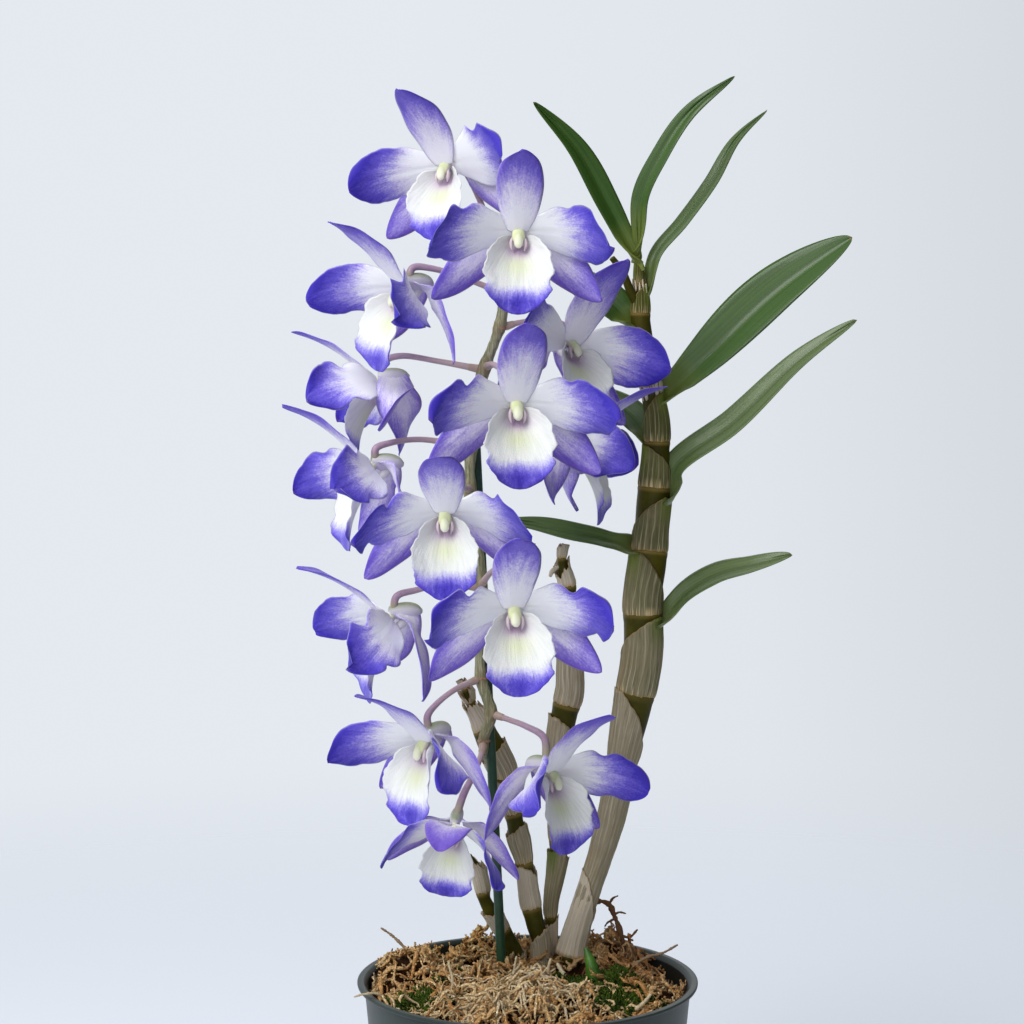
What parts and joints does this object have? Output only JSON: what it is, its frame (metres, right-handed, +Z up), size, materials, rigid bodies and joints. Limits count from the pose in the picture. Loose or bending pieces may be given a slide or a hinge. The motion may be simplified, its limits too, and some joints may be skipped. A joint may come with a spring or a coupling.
{
  "type": "dendrobium orchid in a nursery pot",
  "caption": "Potted Dendrobium orchid: violet and white blooms along a staked cane beside a jointed leafy cane, in a dark green nursery pot.",
  "frame": {"origin": "centre of the pot's flat base, on the surface that it stands on", "axes": "+Z up along the pot's axis and the canes, -Y the way the blooms face, +X to the right seen from that side"},
  "size_m": [0.2058, 0.1473, 0.434],
  "materials": {
    "pot_plastic": "dark green moulded pot plastic, slight sheen",
    "potting_mix": "dry tan sphagnum strands over bark",
    "moss": "green living moss",
    "stake_plastic": "dark green plastic coated steel stake",
    "cane": "papery striped sheaths over olive cane",
    "flowering_cane": "grey green cane",
    "leaf": "leathery green leaf",
    "shoot": "fresh green shoot",
    "root": "dry brown root",
    "petal": "white petal shading to violet at its edge",
    "lip": "white lip with a yellow green throat and a violet tip"
  },
  "bodies": {
    "root": {"bloom_01": "petal", "bloom_02": "petal", "bloom_03": "petal", "bloom_04": "petal", "bloom_05": "petal", "bloom_06": "petal", "bloom_07": "petal", "bloom_08": "petal", "bloom_09": "petal", "bloom_10": "petal", "bloom_11": "petal", "bloom_12": "petal", "bloom_13": "petal", "bloom_14": "petal", "flowering_cane": "flowering_cane", "green_shoot": "shoot", "leaf_1": "leaf", "leaf_2": "leaf", "leaf_3": "leaf", "leaf_4": "leaf", "leaf_5": "leaf", "leaf_6": "leaf", "leaf_7": "leaf", "leaf_8": "leaf", "leaf_9": "leaf", "lip_01": "lip", "lip_02": "lip", "lip_03": "lip", "lip_04": "lip", "lip_05": "lip", "lip_06": "lip", "lip_07": "lip", "lip_08": "lip", "lip_09": "lip", "lip_10": "lip", "lip_11": "lip", "lip_12": "lip", "lip_13": "lip", "lip_14": "lip", "main_cane": "cane", "moss_1": "moss", "moss_2": "moss", "moss_3": "moss", "old_cane_left": "cane", "old_cane_middle": "cane", "old_cane_short": "cane", "pot": "pot_plastic", "potting_mix": "potting_mix", "root_curled": "root", "root_pale": "root", "support_stake": "stake_plastic"}
  },
  "joints": []
}
